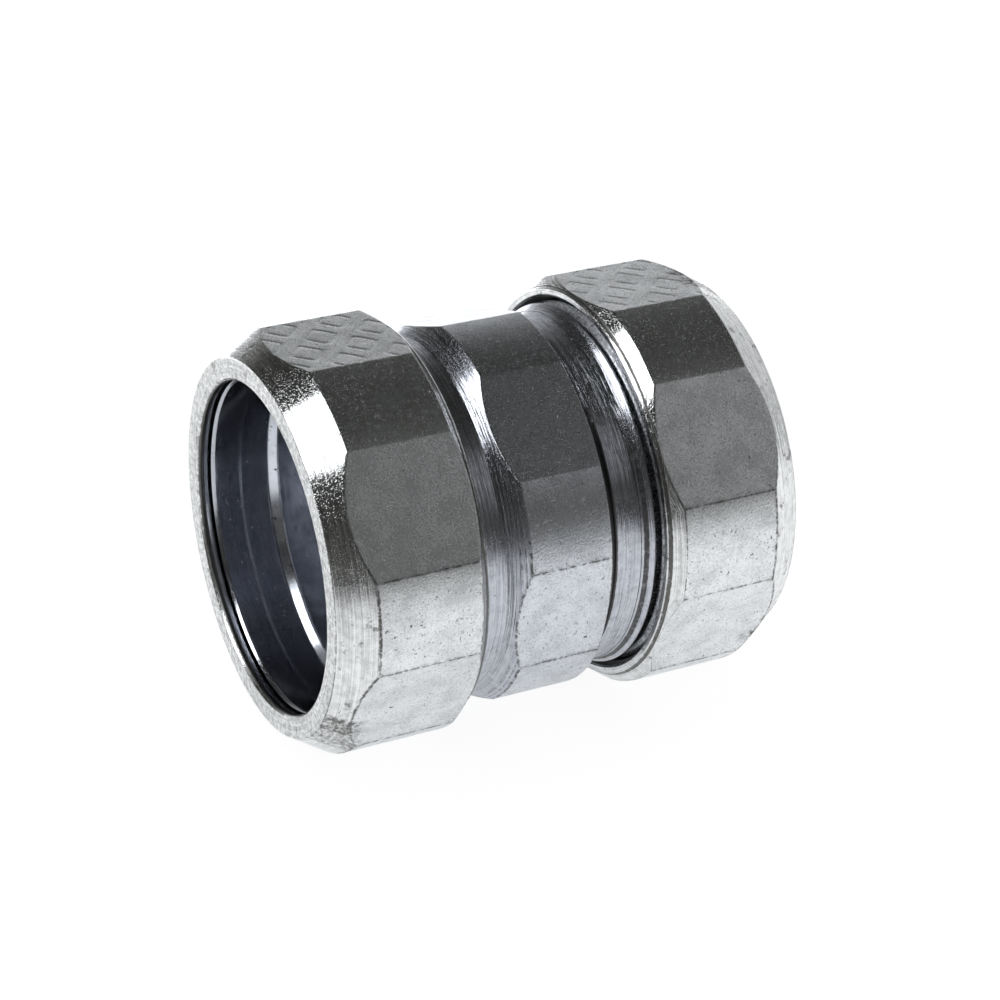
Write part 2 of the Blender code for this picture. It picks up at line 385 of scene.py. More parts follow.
def nut_columns(side, phase):
    """Columns from the wrench flat whose thread start lands nearest its place.

    The nut's ridge runs in the middle of the body's groove.
    """
    wanted = NUT_THREAD_NEAR if side > 0 else -NUT_THREAD_NEAR - (NUT_THREAD_TURNS + 1) * PITCH
    ridge = body_thread_start(side) + BODY_GROOVE_MID - NUT_RIDGE_MID
    best = None
    for sector in range(SIDES):
        first = phase + sector * SECTOR - FLAT_HALF
        start = ridge + PITCH * (first - BODY_PHASE + FLAT_HALF) / TURN
        start += round((wanted - start) / PITCH) * PITCH
        if best is None or abs(start - wanted) < abs(best[1] - wanted):
            best = (column_angles(phase, sector, 120, 20, 17), start)
    return best


def lozenge_marks(across, along):
    """Depth, 0 to 1, of the outlines of plain separate lozenges rolled into a flat."""
    pitch_u, pitch_v = 7.8, 6.6
    half_u, half_v = 2.5, 2.0
    tip_round, line_width = 0.25, 0.15
    depth = np.zeros(np.broadcast(across, along).shape)
    for shift_u, shift_v in ((0.22, 0.0), (0.72, 0.5)):
        u = ((across / pitch_u + shift_u + 0.5) % 1.0 - 0.5) * pitch_u
        v = ((along / pitch_v + shift_v + 0.5) % 1.0 - 0.5) * pitch_v
        reach = np.hypot(u, tip_round) / half_u + np.hypot(v, tip_round) / half_v
        depth = np.maximum(depth, bell(reach - 1.0, line_width))
    return depth


def scuffed(angles, seed):
    """How knocked about the rim is, 0 to 1: low on the near side and in two other places."""
    rng = np.random.default_rng(seed)
    total = np.zeros(len(angles))
    for place in (math.radians(130.0), rng.uniform(0.0, TURN), rng.uniform(0.0, TURN)):
        away = (angles - place + math.pi) % TURN - math.pi
        total = np.maximum(total, bell(away, 0.34))
    return total * np.clip(0.6 + 0.5 * ring_noise(seed + 1, angles, 9, 90), 0.0, 1.0)


def bell(distance, width):
    """1 at no distance, fading out over the width."""
    return np.exp(-((distance / width) ** 2))


def angle_window(angles, low, high, soft=6.0):
    """1 between two angles in degrees, fading out over the soft distance."""
    away = np.abs((np.degrees(angles) - 0.5 * (low + high) + 180.0) % 360.0 - 180.0)
    return np.clip((0.5 * (high - low) + soft - away) / soft, 0.0, 1.0)


def lip_darkening(x, radius, angles):
    """Painted shade inside the mouth and in the fine groove at the lip's foot; darker low on its
    slope.
    """
    in_mouth = radius < 22.80
    in_groove = x > 11.62 and radius > 23.8
    # Painted shade: the mouth's inside and the groove's crease are coloured solid dark.
    if in_mouth or in_groove:
        return SOLID_DIRT_AND_SHADE
    on_slope = radius > 23.74
    return 1.7 * angle_window(angles, 66.0, 220.0) if on_slope else 0.0


def face_stains_and_shade(x, radius, angles):
    """Stains on the end face, painted shade round the inside of the opening, and one nick."""
    # Painted shade: the inside wall of the opening is coloured solid dark.
    if radius < OPENING_R + 0.12:
        return SOLID_DIRT_AND_SHADE
    nick = 0.9 * angle_window(angles, -34.0, -32.5, 1.6)
    return np.maximum(0.57, nick)


def low_side(angles):
    """Edges are darkened a little on top of the part and more on the near side and below."""
    return 0.15 + 0.85 * angle_window(angles, 78.0, 250.0, 16.0)


def nut_face(skin, side, seed):
    """Edge of the opening and the end face."""
    path = rounded(
        [
            (OPENING_INNER_X, OPENING_R, 0),
            (FACE_X - 0.42, OPENING_R, 0.14),
            (FACE_X, OPENING_R + 0.38, 0.14),
            (FACE_X, FACE_R, 0.0),
        ],
        spacing=0.16,
    )
    return skin.profile(path, side, 0.0, groove_noise(seed + 1, 0.21), -0.006, face_stains_and_shade)


def nut_chamfer(skin, side, seed, edge_r, low, scuff, start):
    """Turned outer chamfer from the end face down to the flats, knocked in places."""
    slope = math.hypot(CHAMFER_RUN, 1.0)
    length = (edge_r - FACE_R) * slope
    groove = groove_noise(seed + 2, 0.23)
    rows = 44
    chamfer = [start]
    for k in range(1, rows):
        distance = k / rows * length
        worn = 0.05 * scuff * np.sin(math.pi * k / rows)
        fade = min(1.0, 0.25 * (rows - k))
        bite = 0.003 + 0.003 * groove(distance) * fade + worn
        if k == 1:
            bite = bite + 0.015
        x = FACE_X - distance / slope * CHAMFER_RUN - bite / slope
        radius = FACE_R + distance / slope - bite * CHAMFER_RUN / slope
        at_flats = 1.35 * low * bell(length - distance, 0.24)
        at_face = 1.7 * low * bell(distance, 0.13)
        grime_and_shade = np.maximum(at_flats + at_face, 1.4 * scuff)
        chamfer.append(skin.add(side * x, radius, 10.0 + distance, grime_and_shade))
    end_x = FACE_X - (edge_r - FACE_R) * CHAMFER_RUN
    along = 10.0 + length
    chamfer.append(skin.add(side * (end_x - 0.01), edge_r - EDGE_CUT, along, 1.5 * low))
    return chamfer, end_x


def nut_flats(skin, side, phase, seed, ends, section, low, scuff, start):
    """Wrench flats between the two chamfers, with the marks rolled into the top one."""
    angles = skin.angles
    first, last = ends[0] - 0.12, ends[1]
    # Darker lines along the flats' edges, mostly on the near side and below.
    edge_darkening = 1.2 * low * bell(edge_distance(angles, phase, NUT_FLAT_R), 0.17)
    rows = 128
    swell = sheet_noise(seed + 5, angles, rows + 1)
    local = (angles - phase + math.pi) % TURN - math.pi
    across = NUT_FLAT_R * np.tan(np.clip(local, -FLAT_HALF, FLAT_HALF))
    on_top = np.abs(local) < FLAT_HALF - CORNER_STEP
    flats = [start]
    for k in range(rows + 1):
        t = k / rows
        x = first + (last + 0.12 - first) * t
        marks = np.where(on_top, lozenge_marks(across, x - MARK_MIDDLE_X), 0.0)
        sunk = 0.004 + 0.003 * swell[k] + MARK_DEPTH * marks
        radius = section - np.maximum(sunk, 0.0)
        near_edge = low * bell(np.minimum(first - x, x - last), 0.12)
        grime_and_shade = np.maximum(np.maximum(edge_darkening, near_edge), 0.25 * marks)
        grime_and_shade = np.maximum(grime_and_shade, 1.3 * scuff * np.exp((x - first) / 1.8))
        flats.append(skin.add(side * x, radius, 20.0 + x, grime_and_shade))
    flats.append(skin.add(side * (last + 0.01), section - EDGE_CUT, 31.0, low))
    return flats


def nut_back(skin, side, section, back_run, start):
    """Back chamfer and the lip round the threaded mouth."""
    back = [start]
    rows = 12
    for k in range(1, rows):
        radius = section + (LIP_R - section) * k / rows
        x = LIP_X + (radius - LIP_R) * back_run
        back.append(skin.add(side * x, radius, 31.0 + (section - radius) * 1.18))
    path = rounded(
        [
            (LIP_X, LIP_R, 0),
            (11.74, 23.88, 0.03),
            (11.68, 23.89, 0.03),
            (11.40, 23.72, 0.10),
            (NUT_MOUTH_X, 23.60, 0.06),
            (NUT_MOUTH_X, NUT_MOUTH_R, 0.10),
            (MOUTH_SINK_X, NUT_THREAD["root_r"], 0),
        ],
        spacing=0.14,
        arc=4,
    )
    return back + skin.profile(path, side, 33.0, darkening=lip_darkening)


def nut_seat(skin, side):
    """Relief behind the thread and the taper that squeezes the compression ring."""
    seat_x = OPENING_INNER_X - (SEAT_END_R - OPENING_R) * SEAT_RUN_PER_RISE
    path = rounded(
        [
            (RELIEF_X + 0.15, RELIEF_R, 0),
            (seat_x, RELIEF_R, 0.10),
            (seat_x, SEAT_END_R, 0),
            (OPENING_INNER_X, OPENING_R, 0),
        ],
        spacing=1.2,
        arc=3,
    )
    return skin.profile(path, side, 42.0)[:-1]


def make_nut(name, side, phase, back_run, seed, materials):
    angles, thread_start = nut_columns(side, phase)
    skin = Lathe(angles)
    section = outline_radius(angles, phase, NUT_FLAT_R)
    edge_r = section - 0.02 + 0.02 * ring_noise(seed, angles)
    low = low_side(angles)
    scuff = scuffed(angles, seed + 3)

    face = nut_face(skin, side, seed)
    chamfer, chamfer_x = nut_chamfer(skin, side, seed, edge_r, low, scuff, face[-1])
    skin.bands(face + chamfer[1:], TURNED)
    ends = (chamfer_x, LIP_X + (section - LIP_R) * back_run)
    flats = nut_flats(skin, side, phase, seed, ends, section, low, scuff, chamfer[-1])
    skin.bands(flats, FLATS)
    back = nut_back(skin, side, section, back_run, flats[-1])
    skin.bands(back, TURNED)
    relief = skin.add(side * RELIEF_X, NUT_THREAD["root_r"], 40.0)
    low_ring, high_ring = (back[-1], relief) if side > 0 else (relief, back[-1])
    skin.thread(low_ring, high_ring, thread_start, NUT_THREAD_TURNS, NUT_THREAD)
    skin.bands([relief] + nut_seat(skin, side) + [face[0]], INSIDE)
    return skin.build(name, materials)


def collar_darkening(x, radius, angles):
    """Painted shade in the gap behind the collar, painted shadow of the shoulder in the undercut,
    and darker low on the step in front of it.
    """
    behind = x > 10.8
    in_undercut = radius < 21.15 or x < 6.25
    on_step = 9.55 < x < 10.10
    # Painted shade: the gap behind the collar is coloured solid dark.
    if behind:
        return SOLID_DIRT_AND_SHADE
    # Painted shadow of the shoulder in the undercut, strongest on the near side and below.
    if in_undercut:
        return 0.4 + 1.6 * angle_window(angles, 48.0, 250.0, 12.0)
    return 1.75 * angle_window(angles, 62.0, 220.0) if on_step else 0.0


def body_cone(skin, edge_r, low, start):
    """Left neck, then the coarsely turned cone up to the flats."""
    path = rounded(
        [
            (-NECK_END_X, NECK_R, 0),
            (-7.95, NECK_R, 0.15),
            (CONE_START_X, CONE_START_R, 0),
        ],
        spacing=0.12,
    )
    cone = [start] + skin.profile(path, 1, 0.0, groove_noise(81, 0.22), 0.012)
    groove = groove_noise(82, 0.21)
    slope = math.hypot(1.0, CONE_RUN_PER_RISE)
    length = (edge_r - CONE_START_R) * slope
    dark_lines = 0.85 * angle_window(skin.angles, 66.0, 250.0, 20.0)
    rows = 34
    for k in range(1, rows):
        distance = k / rows * length
        fade = min(1.0, 0.25 * (rows - k))
        bite = 0.022 + 0.022 * groove(distance) * fade
        line = dark_lines * np.clip(-1.6 * groove(distance), 0.0, 1.0)
        grime_and_shade = np.maximum(line, low * bell(length - distance, 0.2))
        x = CONE_START_X + distance / slope * CONE_RUN_PER_RISE + bite / slope
        radius = CONE_START_R + distance / slope - bite * CONE_RUN_PER_RISE / slope
        cone.append(skin.add(x, radius, 5.0 + distance, grime_and_shade))
    end_x = CONE_START_X + (edge_r - CONE_START_R) * CONE_RUN_PER_RISE
    cone.append(skin.add(end_x + 0.01, edge_r - EDGE_CUT, 5.0 + length, low))
    return cone, end_x


def body_flats(skin, ends, section, low, start):
    """Wrench flats between the cone and the right shoulder."""
    first, last = ends[0] + 0.12, ends[1]
    # Darker lines along the flats' edges, mostly on the near side and below.
    edge_darkening = 1.2 * low * bell(edge_distance(skin.angles, BODY_PHASE, BODY_FLAT_R), 0.17)
    rows = 70
    swell = sheet_noise(91, skin.angles, rows + 1)
    flats = [start]
    for k in range(rows + 1):
        x = first + (last - 0.10 - first) * k / rows
        near_edge = low * bell(np.minimum(x - first, last - x), 0.12)
        radius = section - np.maximum(0.005 + 0.004 * swell[k], 0.0)
        flats.append(skin.add(x, radius, 20.0 + x, np.maximum(edge_darkening, near_edge)))
    flats.append(skin.add(last - 0.01, section - EDGE_CUT, 31.0, low))
    return flats


def body_collar(skin, section, start):
    """Right shoulder, undercut, ramp and the turned collar."""
    shoulder = [start]
    # The shoulder's bevel is darkened a little all round and more on the near side and below,
    # dimming its gloss there.
    darkening = 0.6 + 0.9 * angle_window(skin.angles, 46.0, 250.0)
    rows = 5
    for k in range(1, rows):
        radius = section + (SHOULDER_R - section) * k / rows
        x = SHOULDER_X - (radius - SHOULDER_R) * SHOULDER_BEVEL
        shoulder.append(skin.add(x, radius, 31.0 + k, darkening))
    path = rounded(
        [
            (SHOULDER_X, SHOULDER_R, 0),
            (SHOULDER_X, UNDERCUT_R, 0.20),
            (5.80, UNDERCUT_R, 0.15),
            (6.05, NECK_R, 0.12),
            (8.70, NECK_R, 0.60),
            (9.60, 21.38, 0.40),
            (10.10, 21.65, 0.25),
            (10.50, 22.05, 0.12),
            (10.76, 22.05, 0.10),
            (10.88, NECK_R, 0),
            (NECK_END_X, NECK_R, 0),
        ],
        spacing=0.11,
    )
    return shoulder + skin.profile(path, 1, 40.0, groove_noise(83, 0.22), 0.020, collar_darkening)


def body_bore(skin):
    """Tapered mouths, bore and the conduit stop, from right to left."""
    half = rounded(
        [
            (21.10, 21.15, 0),
            (BODY_END_X, BODY_END_R, 0.03),
            (BODY_END_X, MOUTH_R, 0.03),
            (MOUTH_BOTTOM_X, BORE_R, 0.30),
            (STOP_HALF + 0.25, BORE_R, 0.10),
            (STOP_HALF, 18.70, 0.10),
            (STOP_HALF - 0.10, STOP_R, 0.10),
            (0.0, STOP_R, 0),
        ],
        spacing=1.5,
        arc=3,
    )
    whole = np.concatenate([half, half[-2::-1] * (-1.0, 1.0)])
    return skin.profile(whole, 1, 60.0)


def make_body(name, materials):
    angles = column_angles(BODY_PHASE, 0, 20, 20, 17)
    skin = Lathe(angles)
    section = outline_radius(angles, BODY_PHASE, BODY_FLAT_R)
    edge_r = section - 0.04 + 0.04 * ring_noise(71, angles)
    low = low_side(angles)

    ends = []
    for side in (-1, 1):
        start = body_thread_start(side)
        finish = start + (BODY_THREAD_TURNS + 1) * PITCH
        low_ring = skin.add(start - THREAD_MARGIN, NECK_R, start)
        high_ring = skin.add(finish + THREAD_MARGIN, NECK_R, finish)
        skin.thread(low_ring, high_ring, start, BODY_THREAD_TURNS, BODY_THREAD)
        ends.append((low_ring, high_ring))
    (left_low, left_high), (right_low, right_high) = ends

    cone, cone_x = body_cone(skin, edge_r, low, left_high)
    skin.bands(cone, TURNED)
    flat_ends = (cone_x, SHOULDER_X - (section - SHOULDER_R) * SHOULDER_BEVEL)
    flats = body_flats(skin, flat_ends, section, low, cone[-1])
    skin.bands(flats, FLATS)
    collar = body_collar(skin, section, flats[-1])
    skin.bands(collar + [right_low], TURNED)
    skin.bands([right_high] + body_bore(skin) + [left_low], INSIDE)
    return skin.build(name, materials)


def make_ring(name, side, split_angle, materials):
    """Split gland ring: flared towards the opening, tapered at its back."""
    half_split = SPLIT_WIDTH / 2.0 / BORE_R
    first, last = split_angle + half_split, split_angle + TURN - half_split
    skin = Lathe(np.linspace(first, last, RING_COLUMNS))
    path = rounded(
        [
            (RING_MID_X, RING_IN_R, 0),
            (27.10, RING_IN_R, 0.15),
            (RING_FRONT_X, 19.66, 0.05),
            (RING_FRONT_X, 19.82, 0.05),
            (26.30, RING_OUT_R, 0.20),
            (21.90, RING_OUT_R, 0.20),
            (RING_BACK_X, 19.60, 0.10),
            (RING_BACK_X, RING_IN_R, 0.08),
            (RING_MID_X, RING_IN_R, 0),
        ],
        spacing=0.4,
    )[:-1]
    rings = skin.profile(path, side, 0.0)
    skin.bands(rings + [rings[0]], TURNED, closed=False)
    skin.face([ring[0] for ring in rings], TURNED)
    skin.face([ring[-1] for ring in reversed(rings)], TURNED)
    return skin.build(name, materials)


# ---------------------------------------------------------------- materials
class Graph:
    """Short names for the shader nodes that the metals and the room use."""

    def __init__(self, owner):
        owner.use_nodes = True
        self.owner = owner
        self.tree = owner.node_tree

    def node(self, kind, **settings):
        made = self.tree.nodes.new(kind)
        for key, value in settings.items():
            setattr(made, key, value)
        return made

    def put(self, socket, value):
        if isinstance(value, bpy.types.NodeSocket):
            self.tree.links.new(value, socket)
        else:
            socket.default_value = value

    def math(self, operation, *values, clamp=False):
        made = self.node("ShaderNodeMath", operation=operation, use_clamp=clamp)
        for socket, value in zip(made.inputs, values):
            self.put(socket, value)
        return made.outputs[0]

    def total(self, *terms):
        """Weighted sum of (value, weight) pairs."""
        result = None
        for value, weight in terms:
            term = self.math("MULTIPLY", value, weight)
            result = term if result is None else self.math("ADD", result, term)
        return result

    def vector(self, operation, a, b=None, scale=None):
        made = self.node("ShaderNodeVectorMath", operation=operation)
        self.put(made.inputs[0], a)
        if b is not None:
            self.put(made.inputs[1], b)
        if scale is not None:
            self.put(made.inputs["Scale"], scale)
        return made.outputs["Value" if operation == "DOT_PRODUCT" else "Vector"]

    def toward(self, look, direction):
        """How far a direction in the scene points along another one."""
        return self.vector("DOT_PRODUCT", look, direction)

    def noise(self, vector, scale, detail=4.0, roughness=0.55):
        """Noise, 0 to 1, with the scale in cells for each unit of the vector."""
        made = self.node("ShaderNodeTexNoise")
        self.put(made.inputs["Vector"], vector)
        made.inputs["Scale"].default_value = scale
        made.inputs["Detail"].default_value = detail
        made.inputs["Roughness"].default_value = roughness
        return made.outputs["Fac"]

    def ramp(self, value, low, high, out_low=0.0, out_high=1.0):
        """Smooth step from out_low, at low and below, to out_high, at high and above."""
        made = self.node("ShaderNodeMapRange", interpolation_type="SMOOTHSTEP")
        self.put(made.inputs["Value"], value)
        limits = {"From Min": low, "From Max": high, "To Min": out_low, "To Max": out_high}
        for key, number in limits.items():
            made.inputs[key].default_value = number
        return made.outputs["Result"]

    def mix_value(self, factor, a, b):
        made = self.node("ShaderNodeMix")
        for key, value in (("Factor", factor), ("A", a), ("B", b)):
            self.put(made.inputs[key], value)
        return made.outputs["Result"]

    def mix(self, factor, a, b):
        made = self.node("ShaderNodeMix", data_type="RGBA")
        self.put(made.inputs["Factor"], factor)
        for socket, value in ((made.inputs[6], a), (made.inputs[7], b)):
            self.put(socket, value if isinstance(value, bpy.types.NodeSocket) else (*value, 1.0))
        return made.outputs[2]

    def choose(self, factor, first, second):
        """Shader that is the first node's at a factor of 0 and the second's at 1."""
        made = self.node("ShaderNodeMixShader")
        self.put(made.inputs[0], factor)
        self.put(made.inputs[1], first.outputs[0])
        self.put(made.inputs[2], second.outputs[0])
        return made.outputs[0]

    def bump(self, height, distance):
        """Normal of a surface that rises by the height times the distance in metres."""
        made = self.node("ShaderNodeBump")
        made.inputs["Distance"].default_value = distance
        made.inputs["Strength"].default_value = 1.0
        self.put(made.inputs["Height"], height)
        return made.outputs["Normal"]

    def attribute(self, name):
        return self.node("ShaderNodeAttribute", attribute_name=name).outputs["Fac"]

    def place(self):
        """Place on the object in millimetres."""
        coords = self.node("ShaderNodeTexCoord").outputs["Object"]
        return self.vector("SCALE", coords, scale=1.0 / MM)

    def turned_place(self, along_scale, around_scale):
        """Noise place that changes fast along the profile and slowly round the axis."""
        coords = self.node("ShaderNodeTexCoord").outputs["Object"]
        flat = self.vector("MULTIPLY", coords, (0.0, 1.0, 1.0))
        around = self.vector("SCALE", self.vector("NORMALIZE", flat), scale=around_scale)
        lift = self.node("ShaderNodeCombineXYZ")
        self.put(lift.inputs["X"], self.math("MULTIPLY", self.attribute("along"), along_scale))
        return self.vector("ADD", around, lift.outputs[0])

    def metal(self, color, roughness, normal, anisotropic=0.0):
        """Finish the owner as a bare metal; anisotropic stretches gloss along X."""
        shader = self.tree.nodes["Principled BSDF"]
        shader.inputs["Metallic"].default_value = 1.0
        self.put(shader.inputs["Base Color"], color)
        self.put(shader.inputs["Roughness"], roughness)
        self.put(shader.inputs["Normal"], normal)
        if anisotropic:
            tangent = self.node("ShaderNodeTangent", direction_type="RADIAL", axis="X")
            self.put(shader.inputs["Tangent"], tangent.outputs[0])
            shader.inputs["Anisotropic"].default_value = anisotropic
        return self.owner


# Colour of real dirt, and of painted shade in gaps, mouths, creases and the undercut.
DIRT_AND_SHADE = (0.036, 0.033, 0.028)  # colour


def edge_dirt_and_shade(g, place):
    """Patchy dirt and painted shade where the skin's per-point level says, growing solid from 1 up
    to the level that hides the metal.
    """
    grime_and_shade = g.attribute("grime_and_shade")
    patches = g.ramp(g.noise(place, 1.5, 7.0, 0.78), 0.31, 0.62)
    patchy = g.ramp(g.math("MULTIPLY", grime_and_shade, patches), 0.15, 0.95)
    solid = g.math("SUBTRACT", grime_and_shade, SOLID_DIRT_AND_SHADE - 1.0)
    return g.math("MAXIMUM", patchy, solid, clamp=True)


def mill_metal(name, light, dark, roughness, grain_depth):
    """Mill-finish flats: dull, finely grained and pitted, darkened along the edges."""
    g = Graph(bpy.data.materials.new(name))
    place = g.place()
    grain = g.noise(place, 3.2, 5.0, 0.75)
    salt = g.noise(place, 7.0, 2.0, 0.7)
    patches = g.noise(place, 0.35, 4.0, 0.6)
    pits = g.ramp(g.noise(place, 1.7, 5.0, 0.7), 0.62, 0.68)
    specks = g.ramp(g.noise(place, 4.6, 2.0, 0.6), 0.65, 0.71)
    pits = g.math("MAXIMUM", pits, specks)
    smear = g.vector("MULTIPLY", place, (0.35, 2.2, 2.2))
    scratch = g.ramp(g.noise(smear, 0.9, 3.0, 0.6), 0.66, 0.69)
    in_pits = g.math("MULTIPLY", pits, 0.80)
    at_edges = g.math("MULTIPLY", edge_dirt_and_shade(g, place), 0.85)
    stains_and_shade = g.math("MAXIMUM", in_pits, at_edges)
    tone = g.total((grain, 0.40), (salt, 0.25), (patches, 0.35))
    color = g.mix(g.ramp(tone, 0.41, 0.58), dark, light)
    color = g.mix(stains_and_shade, color, DIRT_AND_SHADE)
    clean = g.ramp(tone, 0.35, 0.65, roughness + 0.05, roughness - 0.05)
    rough = g.math("ADD", clean, g.math("MULTIPLY", stains_and_shade, 0.2))
    height = g.total((grain, 1.0), (pits, -0.5), (scratch, -0.25))
    return g.metal(color, rough, g.bump(height, grain_depth * MM))


def turned_metal(name, light, dark, roughness, line_depth, grain_depth, blotches):
    """Lathe-cut faces: fine rings round the axis, ragged grain and a few blotches."""
    g = Graph(bpy.data.materials.new(name))
    place = g.place()
    fine = g.noise(g.turned_place(10.0, 3.0), 1.0, 1.5, 0.7)
    long = g.noise(g.turned_place(3.6, 1.2), 1.0, 3.5, 0.68)
    grain = g.noise(place, 6.0, 1.0, 0.6)
    patches = g.noise(place, 0.9, 3.0, 0.6)
    blotch = g.ramp(g.noise(place, 0.55, 5.0, 0.72), 0.585, 0.65)
    specks = g.ramp(g.noise(place, 1.9, 4.0, 0.65), 0.65, 0.71)
    in_specks = g.math("MULTIPLY", specks, 0.6)
    # Dirt, plus painted shade in the gaps, mouths, creases and undercut, from the skin's per-point
    # level.
    at_edges = g.math("MULTIPLY", edge_dirt_and_shade(g, place), 0.85)
    stains_and_shade = g.math("MAXIMUM", in_specks, at_edges)
    stains_and_shade = g.math("MAXIMUM", stains_and_shade, g.math("MULTIPLY", blotch, blotches))
    tone = g.total((long, 0.4), (fine, 0.3), (patches, 0.3))
    color = g.mix(g.ramp(tone, 0.39, 0.60), dark, light)
    color = g.mix(stains_and_shade, color, DIRT_AND_SHADE)
    height = g.total(
        (fine, line_depth),
        (long, 2.2 * line_depth),
        (g.ramp(grain, 0.56, 0.74), grain_depth),
        (stains_and_shade, -0.2 * grain_depth),
    )
    clean = g.ramp(grain, 0.3, 0.7, roughness - 0.03, roughness + 0.04)
    rough = g.math("ADD", clean, g.math("MULTIPLY", stains_and_shade, 0.30))
    return g.metal(color, rough, g.bump(height, MM), anisotropic=0.5)


def smooth_metal(name, color, roughness):
    """Plated bore: smooth, with a faint blue cast and soft cloudy variation."""
    g = Graph(bpy.data.materials.new(name))
    place = g.place()
    cloud = g.noise(place, 0.25, 3.0, 0.5)
    fine = g.noise(g.turned_place(3.0, 3.0), 1.0, 3.0, 0.6)
    specks = g.ramp(g.noise(place, 1.4, 4.0, 0.7), 0.60, 0.72)
    dull = tuple(0.75 * channel for channel in color)
    tint = g.mix(g.ramp(cloud, 0.35, 0.65), dull, color)
    tint = g.mix(specks, tint, DIRT_AND_SHADE)
    height = g.total((fine, 0.008), (g.noise(place, 3.0), 0.004))
    rough = g.ramp(cloud, 0.3, 0.7, roughness - 0.03, roughness + 0.05)
    return g.metal(tint, rough, g.bump(height, MM))


def make_metals():
    """The materials of every zone, by name; depths are in millimetres."""
    return {
        "nut_flats": mill_metal(
            "nut_flats",
            light=(0.75, 0.76, 0.77),
            dark=(0.56, 0.57, 0.58),
            roughness=0.27,
            grain_depth=0.030,
        ),
        "body_flats": mill_metal(
            "body_flats",
            light=(0.63, 0.645, 0.68),
            dark=(0.47, 0.485, 0.51),
            roughness=0.25,
            grain_depth=0.036,
        ),
        "nut_turned": turned_metal(
            "nut_turned",
            light=(0.78, 0.785, 0.785),
            dark=(0.48, 0.485, 0.485),
            roughness=0.06,
            line_depth=0.024,
            grain_depth=0.0085,
            blotches=0.60,
        ),
        "collar": turned_metal(
            "collar_turned",
            light=(0.53, 0.54, 0.585),
            dark=(0.36, 0.37, 0.41),
            roughness=0.14,
            line_depth=0.032,
            grain_depth=0.006,
            blotches=0.15,
        ),
        "thread": turned_metal(
            "thread_steel",
            light=(0.42, 0.43, 0.46),
            dark=(0.28, 0.29, 0.31),
            roughness=0.25,
            line_depth=0.020,
            grain_depth=0.020,
            blotches=0.3,
        ),
        "bore": smooth_metal("bore_steel", color=(0.63, 0.65, 0.71), roughness=0.19),
        "ring": turned_metal(
            "ring_steel",
            light=(0.46, 0.47, 0.51),
            dark=(0.36, 0.37, 0.40),
            roughness=0.12,
            line_depth=0.004,
            grain_depth=0.004,
            blotches=0.15,
        ),
    }


# -------------------------------------------------------------------- stage
CAMERA_AZIMUTH = math.radians(-26.557)
CAMERA_ELEVATION = math.radians(25.498)
CAMERA_DISTANCE = 0.32057
CAMERA_SIDE = 0.001615
CAMERA_LENS = 96.68
SENSOR_WIDTH = 36.0

FLOOR_RADIUS = 0.60
FLOOR_SIDES = 96

# Directions into the room. +Y is the far side and +X the right.
NEAR_TO_FAR = (0.35, 0.94, 0.0)
FAR_SIDE = (-0.20, 0.98, 0.0)
FAR_RIGHT = (0.55, 0.835, 0.0)
RIGHT_SIDE = (0.766, 0.643, 0.0)
FRONT_CARD = (0.630, -0.567, 0.530)

# The window of light lies inside three planes: a normal and how far along it.
WINDOW_EDGES = (
    ((0.250, 0.679, 0.690), 0.13),
    ((-0.555, -0.829, 0.058), 0.08),
    ((-0.35, 0.10, -0.93), -0.62),
)
WINDOW_STRENGTH = 7.0
ROOM_STRENGTH = 0.050


def make_camera():
    a, e = CAMERA_AZIMUTH, CAMERA_ELEVATION
    back = Vector((math.sin(a) * math.cos(e), -math.cos(a) * math.cos(e), math.sin(e)))
    right = Vector((math.cos(a), math.sin(a), 0.0))
    data = bpy.data.cameras.new("camera")
    data.sensor_width = SENSOR_WIDTH
    data.lens = CAMERA_LENS
    data.clip_start = 0.01
    camera = bpy.data.objects.new("camera", data)
    bpy.context.scene.collection.objects.link(camera)
    camera.rotation_mode = "QUATERNION"
    camera.rotation_quaternion = (-back).to_track_quat("-Z", "Y")
    camera.location = right * CAMERA_SIDE + back * CAMERA_DISTANCE
    bpy.context.scene.camera = camera


def floor_material():
    """White paper to the camera; in reflections, dim in front and bright behind."""
    g = Graph(bpy.data.materials.new("floor"))
    g.tree.nodes.remove(g.tree.nodes["Principled BSDF"])
    coords = g.node("ShaderNodeTexCoord").outputs["Object"]
    near = g.ramp(g.toward(coords, NEAR_TO_FAR), -0.26, -0.03, 0.12, 1.0)
    far = g.ramp(g.toward(coords, FAR_SIDE), 0.25, 0.33, 1.0, 6.0)
    level = g.math("MULTIPLY", near, far)
    diffuse = g.node("ShaderNodeBsdfDiffuse")
    glow = g.node("ShaderNodeEmission")
    g.put(diffuse.inputs["Color"], g.mix(level, (0.0, 0.0, 0.0), (0.55, 0.555, 0.56)))
    g.put(glow.inputs["Color"], (0.975, 1.0, 1.015, 1.0))
    g.put(glow.inputs["Strength"], g.math("MULTIPLY", level, 0.62))
    seen = g.node("ShaderNodeBsdfDiffuse")
    g.put(seen.inputs["Color"], (0.10, 0.10, 0.10, 1.0))
    white = g.node("ShaderNodeEmission")
    g.put(white.inputs["Strength"], 0.93)
    lit, shown = g.node("ShaderNodeAddShader"), g.node("ShaderNodeAddShader")
    for target, pair in ((lit, (diffuse, glow)), (shown, (seen, white))):
        for socket, shader in zip(target.inputs, pair):
            g.put(socket, shader.outputs[0])
    for_camera = g.node("ShaderNodeLightPath").outputs["Is Camera Ray"]
    surface = g.choose(for_camera, lit, shown)
    g.put(g.tree.nodes["Material Output"].inputs["Surface"], surface)
    return g.owner


